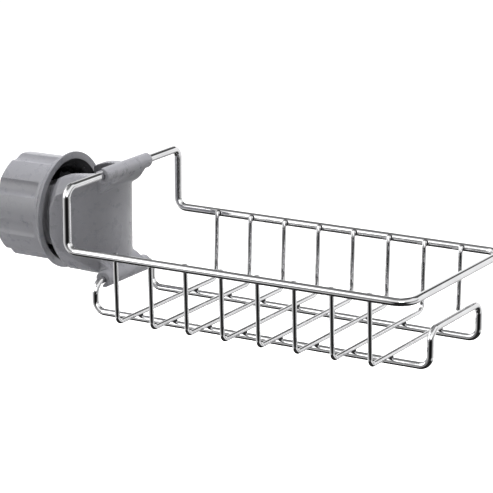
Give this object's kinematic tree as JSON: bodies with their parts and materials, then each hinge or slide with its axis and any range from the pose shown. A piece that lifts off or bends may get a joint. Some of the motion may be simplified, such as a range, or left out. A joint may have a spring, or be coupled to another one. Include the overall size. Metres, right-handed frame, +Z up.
{
  "type": "sponge holder",
  "caption": "Wire sponge tray on a moulded pipe clamp: a fluted knob screws over two arms and presses a padded block against an upright tap pipe.",
  "frame": {"origin": "where the axis of the gripped pipe crosses the knob's axis", "axes": "+X from the pipe's axis out along the tray, +Z up along the pipe, +Y to the left when looking along +X"},
  "size_m": [0.2518, 0.108, 0.0747],
  "materials": {
    "grey_plastic": "satin moulded",
    "black_rubber": "matt",
    "bright_wire": "polished"
  },
  "bodies": {
    "holder": {"clamp_body": "grey_plastic", "saddle_pad": "black_rubber", "rim_wire": "bright_wire", "base_wire": "bright_wire", "cross_wire_1": "bright_wire", "cross_wire_2": "bright_wire", "cross_wire_3": "bright_wire", "cross_wire_4": "bright_wire", "cross_wire_5": "bright_wire", "cross_wire_6": "bright_wire", "cross_wire_7": "bright_wire", "cross_wire_8": "bright_wire"},
    "pusher": {"pressure_block": "grey_plastic", "pressure_pad": "black_rubber"},
    "knob": {"tightening_knob": "grey_plastic"}
  },
  "joints": [
    {"name": "pusher_slide", "type": "slide", "parent": "holder", "child": "pusher", "axis": [1, 0, 0], "range_m": [-0.005, 0.0025]},
    {"name": "knob_turn", "type": "hinge", "parent": "pusher", "child": "knob", "pos_m": [-0.03, 0, 0], "axis": [1, 0, 0], "range_deg": [-360, 180]}
  ],
  "couplings": [
    {"joint": "knob_turn", "follows": "pusher_slide", "rad_per_m": 1256.6}
  ]
}
